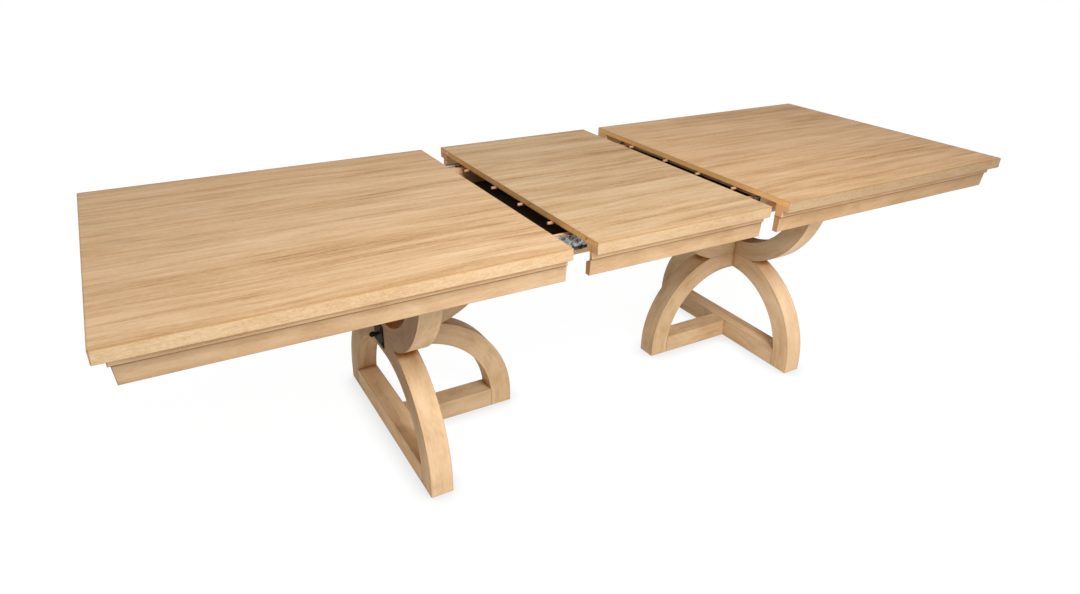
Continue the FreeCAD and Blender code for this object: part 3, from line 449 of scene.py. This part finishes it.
# Each board was cut and stained on its own, so tone and pattern differ a little. Inner is how far
# from the table's middle its sawn ends lie at most
boards = {
    "left": {
        "top": (0.96, 0.95, 0.95),
        "edge": (0.80, 0.79, 0.76),
        "apron": (0.82, 0.82, 0.82),
        "shift": 0.0,
        "inner": 0.42,
    },
    "right": {
        "top": (0.91, 0.86, 0.82),
        "edge": (0.625, 0.605, 0.575),
        "apron": (0.84, 0.82, 0.80),
        "shift": 3.7,
        "inner": 0.42,
    },
    "leaf": {
        "top": (0.86, 0.87, 0.87),
        "edge": (0.72, 0.71, 0.69),
        "apron": (0.84, 0.84, 0.84),
        "shift": 7.9,
        "inner": 0.31,
    },
}
for end, look in boards.items():
    panel = end + ("_panel" if end == "leaf" else "_top_panel")
    paint([panel], topPanel(end + "Veneer", panel, veneer, edging, look["top"], look["edge"],
                            look["shift"], look["inner"]))
    along = edgeStrip(end + "EdgeAlong", edging, "x", look["edge"], look["shift"])
    apronAlong = apronBoard(end + "ApronAlong", apronLook, "x", look["apron"], look["shift"])
    paint([end + "_front_apron", end + "_back_apron"], apronAlong)
    if end == "leaf":
        paint(["leaf_edge_strips"], along)
        continue
    paint([end + "_front_edge_strip", end + "_back_edge_strip"], along)
    paint([end + "_end_edge_strip"],
          edgeStrip(end + "EdgeAcross", edging, "y", look["edge"], look["shift"]))
    paint([end + "_end_apron"],
          apronBoard(end + "ApronAcross", apronLook, "y", look["apron"], look["shift"]))
print("tops and aprons finished")


# Pedestals: solid wood under a brown glaze that stays on the arrises and in the corners

pedestalLook = {
    "light": srgb(242, 211, 172),
    "middle": srgb(226, 192, 151),
    "dark": srgb(198, 160, 118),
    "arris": srgb(160, 120, 78),
    "glaze": srgb(178, 112, 22),
    "shade": srgb(76, 48, 22),
    "hollow": srgb(186, 122, 10),
    "gathers": 0.03,
    # Heights between which the painted shade on the flat sides sets in, and above which glaze
    # could dry
    "deep": (0.12, 0.32),
    "dry": (0.035, 0.06),
    "roughness": 0.5,
    "gloss": 0.02,
}
# How the arches and cups bend: the straight stretch by the hub, the middle and the inner radius
# of the bend, and the heights of the centres of the lower and the upper bends
bends = {
    "flat": 0.028,
    "halfFlat": 0.056,
    "radius": 0.306,
    "inner": 0.270,
    "low": 0.0365,
    "high": 0.6915,
}
archLow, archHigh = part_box("left_lower_arch")
pedestalMiddle = abs(archLow.x + archHigh.x) / 2


def archBend(high, half):
    return {
        "plane": "front" if half else "side",
        "middle": pedestalMiddle,
        "across": bends["halfFlat"] if half else bends["flat"],
        "level": bends["high"] if high else bends["low"],
        "up": -1.0 if high else 1.0,
        "radius": bends["radius"],
    }


def glazedWood(name, look, grainOf, tint, side, hollow):
    material = newMaterial(name)
    tree = material.node_tree
    grain = grainOf(tree)
    streaks = noiseAt(tree, grain, (2.6, 40.0, 40.0), 4.0, 0.6, 0.3)
    fine = noiseAt(tree, grain, (7.0, 210.0, 210.0), 3.0, 0.65)
    pores = noiseAt(tree, grain, (45.0, 1200.0, 1200.0), 1.0, 0.5)
    cloud = noiseAt(tree, grain, (6.0, 15.0, 15.0), 4.0, 0.6, 0.6)
    fuzz = noiseAt(tree, grain, (60.0, 150.0, 150.0), 3.0, 0.65)
    tone = weighed(tree, (cloud, 0.52), (streaks, 0.26), (fine, 0.12), (fuzz, 0.10))
    wood = threeTones(tree, tone, 0.36, 0.66, look["dark"], look["middle"], look["light"])
    poreTone = ranged(tree, pores, 0.60, 0.74, 1.0, 0.9)
    wood = scaledColour(tree, wood, product(tree, poreTone, tint))
    # Up towards the hub the flat sides facing X are painted darker than the curved backs, a
    # painted shade for the shadow under the table top
    height = placeAlong(tree, "Z")
    flat = product(tree, ranged(tree, facing(tree, "X"), 0.9, 0.98),
                   ranged(tree, height, *look["deep"]))
    wood = mixedColour(tree, flat, wood, vectorOf(tree, "MULTIPLY", wood, side))

    if hollow:
        # Glaze ran down the inner side of the bend and was left there
        span = addNode(tree, "ShaderNodeSeparateXYZ", {0: grain}).outputs["Y"]
        inside = ranged(tree, span, bends["inner"] + 0.0015, bends["inner"] + 0.0004)
        run = ranged(tree, cloud, 0.3, 0.6, 0.85, 1.0)
        wood = mixedColour(tree, product(tree, inside, run, hollow), wood, look["hollow"])

    # A little glaze gathers in every corner, and here and there a run of it dried dark
    uneven = ranged(tree, fuzz, 0.3, 0.6, 0.55, 1.0)
    gathered = product(tree, crevices(tree, look["gathers"], 0.6, 0.2), uneven, 0.25)
    runs = noiseAt(tree, objectPlace(tree), (9.0, 9.0, 9.0), 2.0, 0.5)
    runs = ranged(tree, runs, 0.40, 0.52)
    offFloor = ranged(tree, height, *look["dry"])
    dried = product(tree, crevices(tree, look["gathers"], 0.72, 0.45), runs, offFloor, 0.75)
    wood = mixedColour(tree, mathsOf(tree, "MAXIMUM", gathered, dried), wood, look["glaze"])
    worn = product(tree, arrises(tree, 0.005), ranged(tree, cloud, 0.35, 0.6, 0.1, 0.8))
    wood = mixedColour(tree, worn, wood, look["arris"])
    joints = product(tree, crevices(tree, 0.005, 0.62, 0.3), uneven, 0.55)
    wood = mixedColour(tree, joints, wood, look["shade"])

    relief = weighed(tree, (fine, 0.5), (poreTone, 0.8))
    finished(tree, wood, roughnessAround(tree, cloud, look, 0.08, 0.05),
             (relief, 0.18, 0.0006), look["gloss"])
    return material


# Tone of each piece, the painted shade on the flat sides near the hub, and the stretchers' shift
# The tones are partly the wood's own and partly painted light and shade, set by how brightly each
# piece is lit
pedestalTones = {
    "left": {
        "lower_arch": 0.93,
        "upper_cup": 0.9,
        "inner_half_arch": 0.88,
        "inner_half_cup": 0.95,
        "cross_stretcher": 1.14,
        "long_stretcher": 0.77,
        "archSideShade": (0.6, 0.54, 0.53),
        "cupSideShade": (0.55, 0.50, 0.51),
        "shift": 0.0,
    },
    "right": {
        "lower_arch": 0.99,
        "upper_cup": 1.1,
        "inner_half_arch": 1.0,
        "inner_half_cup": 1.0,
        "cross_stretcher": 0.92,
        "long_stretcher": 0.94,
        "archSideShade": (1.0, 1.0, 1.0),
        "cupSideShade": (0.8, 0.8, 0.8),
        "shift": 5.3,
    },
}
unshadedSides = (1.0, 1.0, 1.0)
for end, tones in pedestalTones.items():
    shift = tones["shift"]
    # Each piece with the way its grain runs, the painted shade on its flat sides, and the glaze
    # in its hollow
    for part, grainOf, sides, hollow in (
            ("lower_arch", lambda tree: bentGrain(tree, archBend(False, False)),
             tones["archSideShade"], 0.0),
            ("upper_cup", lambda tree: bentGrain(tree, archBend(True, False)),
             tones["cupSideShade"], 1.0),
            ("inner_half_arch", lambda tree: bentGrain(tree, archBend(False, True)),
             unshadedSides, 0.0),
            ("inner_half_cup", lambda tree: bentGrain(tree, archBend(True, True)),
             unshadedSides, 0.8),
            ("cross_stretcher", lambda tree: straightGrain(tree, "y", shift), unshadedSides, 0.0),
            ("long_stretcher", lambda tree: straightGrain(tree, "x", shift), unshadedSides, 0.0)):
        label = end + "_" + part
        paint([label], glazedWood(label, pedestalLook, grainOf, tones[part], sides, hollow))
print("pedestals finished")


# Sub-frame: plain wood that was never finished, and rosy beech dowels

plainLook = {
    "light": srgb(244, 202, 158),
    "dark": srgb(220, 172, 130),
    "roughness": 0.6,
    "gloss": 0.04,
}
# The battens and crossbars are painted as pale as the rails, a painted light for the light that
# reaches the crossbars in the gaps
battenPaintedLightLook = dict(plainLook, light=srgb(246, 200, 150), dark=srgb(220, 172, 124))
dowelLook = dict(plainLook, light=srgb(212, 164, 128), dark=srgb(182, 134, 100))


def sawnWood(name, look, run):
    material = newMaterial(name)
    tree = material.node_tree
    grain = straightGrain(tree, run)
    streaks = noiseAt(tree, grain, (2.0, 70.0, 70.0), 4.0, 0.6, 0.3)
    lines = noiseAt(tree, grain, (9.0, 500.0, 500.0), 2.0, 0.6)
    tone = weighed(tree, (streaks, 0.65), (lines, 0.35))
    wood = colourRamp(tree, ranged(tree, tone, 0.35, 0.65), [
        (0.0, look["dark"]), (1.0, look["light"])])
    finished(tree, wood, roughnessAround(tree, lines, look, 0.05, 0.05),
             (lines, 0.2, 0.0005), look["gloss"])
    return material


paint(["front_rail", "back_rail", "left_runners", "right_runners"],
      sawnWood("railWood", plainLook, "x"))
paint(["rail_crossbars", "left_top_battens", "right_top_battens", "leaf_battens",
       "left_corner_blocks", "right_corner_blocks"], sawnWood("battenWoodPaintedLight", battenPaintedLightLook, "y"))
paint(["pedestal_dowels", "right_top_dowels", "leaf_dowels"],
      sawnWood("dowelWood", dowelLook, "x"))

blackBoard = {
    "dark": srgb(70, 60, 52),
    "light": srgb(104, 90, 78),
    "worn": srgb(120, 108, 98),
    "roughness": 0.55,
    "gloss": 0.02,
    "patch": (7.0, 9.0, 9.0),
}
blackMetal = dict(blackBoard, dark=srgb(26, 22, 19), light=srgb(56, 48, 41), roughness=0.5,
                  patch=(60.0, 60.0, 60.0))
glidePlastic = dict(blackBoard, patch=(200.0, 200.0, 200.0))


def blackPaint(name, look):
    material = newMaterial(name)
    tree = material.node_tree
    place = objectPlace(tree)
    patches = noiseAt(tree, place, look["patch"], 4.0, 0.6)
    specks = noiseAt(tree, place, (900.0, 900.0, 900.0), 2.0, 0.6)
    colour = colourRamp(tree, ranged(tree, patches, 0.3, 0.7), [
        (0.0, look["dark"]), (1.0, look["light"])])
    worn = product(tree, arrises(tree, 0.0012), ranged(tree, patches, 0.35, 0.6, 0.2, 0.8))
    colour = mixedColour(tree, worn, colour, look["worn"])
    finished(tree, colour, roughnessAround(tree, patches, look, -0.08, -0.08),
             (specks, 0.2, 0.0003), look["gloss"])
    return material


paint(["centre_board"], blackPaint("blackBoard", blackBoard))
paint(["hub_plates", "hub_bolts", "hub_plate_screws"], blackPaint("blackMetal", blackMetal))
paint(["floor_glides"], blackPaint("glidePlastic", glidePlastic))

steel = {
    "bright": srgb(232, 243, 250),
    "dull": srgb(140, 148, 150),
    "spot": srgb(48, 44, 40),
    "spotted": 0.95,
    "roughness": 0.36,
    "gloss": 0.5,
    "metal": 0.85,
}


def galvanisedSteel(name, look):
    material = newMaterial(name)
    tree = material.node_tree
    place = objectPlace(tree)
    spangle = addNode(tree, "ShaderNodeTexVoronoi", {"Vector": place, "Scale": 90.0})
    shade = addNode(tree, "ShaderNodeSeparateColor", {0: spangle.outputs["Color"]})
    smear = noiseAt(tree, place, (28.0, 60.0, 60.0), 4.0, 0.65)
    spots = noiseAt(tree, place, (62.0, 80.0, 80.0), 4.0, 0.66)
    tone = weighed(tree, (shade.outputs[0], 0.35), (smear, 0.65))
    metal = colourRamp(tree, ranged(tree, tone, 0.25, 0.7), [
        (0.0, look["dull"]), (1.0, look["bright"])])
    spotMask = product(tree, ranged(tree, spots, 0.47, 0.60), look["spotted"])
    colour = mixedColour(tree, spotMask, metal, look["spot"])
    finished(tree, colour, roughnessAround(tree, tone, look, 0.14, 0.08, 0.25),
             (spots, 0.15, 0.0003), look["gloss"], look["metal"])
    return material


slideSteel = galvanisedSteel("slideSteel", steel)
fastenerSteel = galvanisedSteel("fastenerSteel", dict(steel, roughness=0.3, spotted=0.15))
for end in ("left", "right"):
    paint([end + "_fixed_slides", end + "_middle_slides", end + "_moving_slides"], slideSteel)
    paint([end + "_slide_screws"], fastenerSteel)
paint(["rail_bolts", "fixed_slide_screws", "leaf_edge_studs"], fastenerSteel)
print("sub-frame and hardware finished")


# Studio: a white floor that keeps a faint real shadow and a painted shadow under the feet, a soft
# lamp in front and a pale surround

studio = {
    "cameraPlace": (-1.3181, -1.9481, 1.4808),
    "azimuth": 0.5304,
    "elevation": 0.4628,
    "roll": 0.0206,
    "lens": 24.7785,
    "sensor": 36.0,
    "farthest": 200.0,
    "floorReach": 30.0,
    "floorAlbedo": 0.85,
    # How strongly the floor takes the lamp's real shadow, and how dark, how far out and between
    # which shares of open surroundings a painted shadow darkens it under the feet
    "shadowPart": 0.07,
    "paintedShadowTone": 0.76,
    "paintedShadowReach": 0.07,
    "paintedShadowOpen": (0.4, 0.98),
    "surround": 0.5,
    "lampPlace": (-0.3, -2.1, 2.4),
    "lampTarget": (-0.2, 0.0, 0.6),
    "lampSize": 1.1,
    "lampPower": 72.0,
}


def makeCamera():
    camera = bpy.data.objects.new("studioCamera", bpy.data.cameras.new("studioCamera"))
    camera.data.lens = studio["lens"]
    camera.data.sensor_width = studio["sensor"]
    camera.data.clip_end = studio["farthest"]
    tilt = Euler((math.pi / 2 - studio["elevation"], 0.0, -studio["azimuth"])).to_matrix()
    turned = tilt @ Matrix.Rotation(studio["roll"], 3, "Z")
    camera.matrix_world = Matrix.Translation(studio["cameraPlace"]) @ turned.to_4x4()
    scene.collection.objects.link(camera)
    scene.camera = camera


def seenDirectly(tree):
    # 1 where the camera, a reflection or clear glass looks, and 0 for light that spreads
    path = addNode(tree, "ShaderNodeLightPath").outputs
    seen = mathsOf(tree, "MAXIMUM", path["Is Camera Ray"], path["Is Glossy Ray"])
    return mathsOf(tree, "MAXIMUM", seen, path["Is Transmission Ray"])


def makeFloor():
    bpy.ops.mesh.primitive_plane_add(size=studio["floorReach"] * 2)
    floor = bpy.context.object
    floor.name = "studioFloor"
    material = newMaterial("studioFloor")
    tree = material.node_tree
    # The floor spreads light as a pale surface, and looks white but for a part of the real shadow
    # and a painted shadow under the feet
    spread = addNode(tree, "ShaderNodeBsdfDiffuse", {
        "Color": (studio["floorAlbedo"],) * 3 + (1.0,)})
    paintedShadowAO = addNode(tree, "ShaderNodeAmbientOcclusion", {"Distance": studio["paintedShadowReach"]},
                   samples=8)
    lit = 1.0 - studio["shadowPart"] * studio["surround"]
    strength = ranged(tree, paintedShadowAO.outputs["AO"], *studio["paintedShadowOpen"],
                      lit * studio["paintedShadowTone"], lit)
    white = addNode(tree, "ShaderNodeEmission", {"Strength": strength})
    shadowed = addNode(tree, "ShaderNodeBsdfDiffuse", {
        "Color": (studio["shadowPart"],) * 3 + (1.0,)})
    shown = addNode(tree, "ShaderNodeAddShader", {0: shadowed.outputs[0], 1: white.outputs[0]})
    mixed = addNode(tree, "ShaderNodeMixShader", {
        0: seenDirectly(tree), 1: spread.outputs[0], 2: shown.outputs[0]})
    # It is clear from below, so that the table's underside can be looked at
    below = addNode(tree, "ShaderNodeNewGeometry").outputs["Backfacing"]
    clear = addNode(tree, "ShaderNodeBsdfTransparent")
    mixed = addNode(tree, "ShaderNodeMixShader", {
        0: below, 1: mixed.outputs[0], 2: clear.outputs[0]})
    addNode(tree, "ShaderNodeOutputMaterial", {"Surface": mixed.outputs[0]})
    floor.data.materials.append(material)


def makeSurround():
    world = bpy.data.worlds.new("studioSurround")
    world.use_nodes = True
    tree = world.node_tree
    tree.nodes.clear()
    strength = ranged(tree, seenDirectly(tree), 0.0, 1.0, studio["surround"], 1.0)
    pale = addNode(tree, "ShaderNodeBackground", {"Color": (1.0, 1.0, 1.0, 1.0),
                                                  "Strength": strength})
    addNode(tree, "ShaderNodeOutputWorld", {"Surface": pale.outputs[0]})
    scene.world = world


def makeLamp():
    data = bpy.data.lights.new("frontLamp", "AREA")
    data.shape = "SQUARE"
    data.size = studio["lampSize"]
    data.energy = studio["lampPower"]
    lamp = bpy.data.objects.new("frontLamp", data)
    place = Vector(studio["lampPlace"])
    aim = (Vector(studio["lampTarget"]) - place).to_track_quat("-Z", "Y")
    lamp.matrix_world = Matrix.Translation(place) @ aim.to_matrix().to_4x4()
    scene.collection.objects.link(lamp)


makeCamera()
makeFloor()
makeSurround()
makeLamp()
print("studio ready")
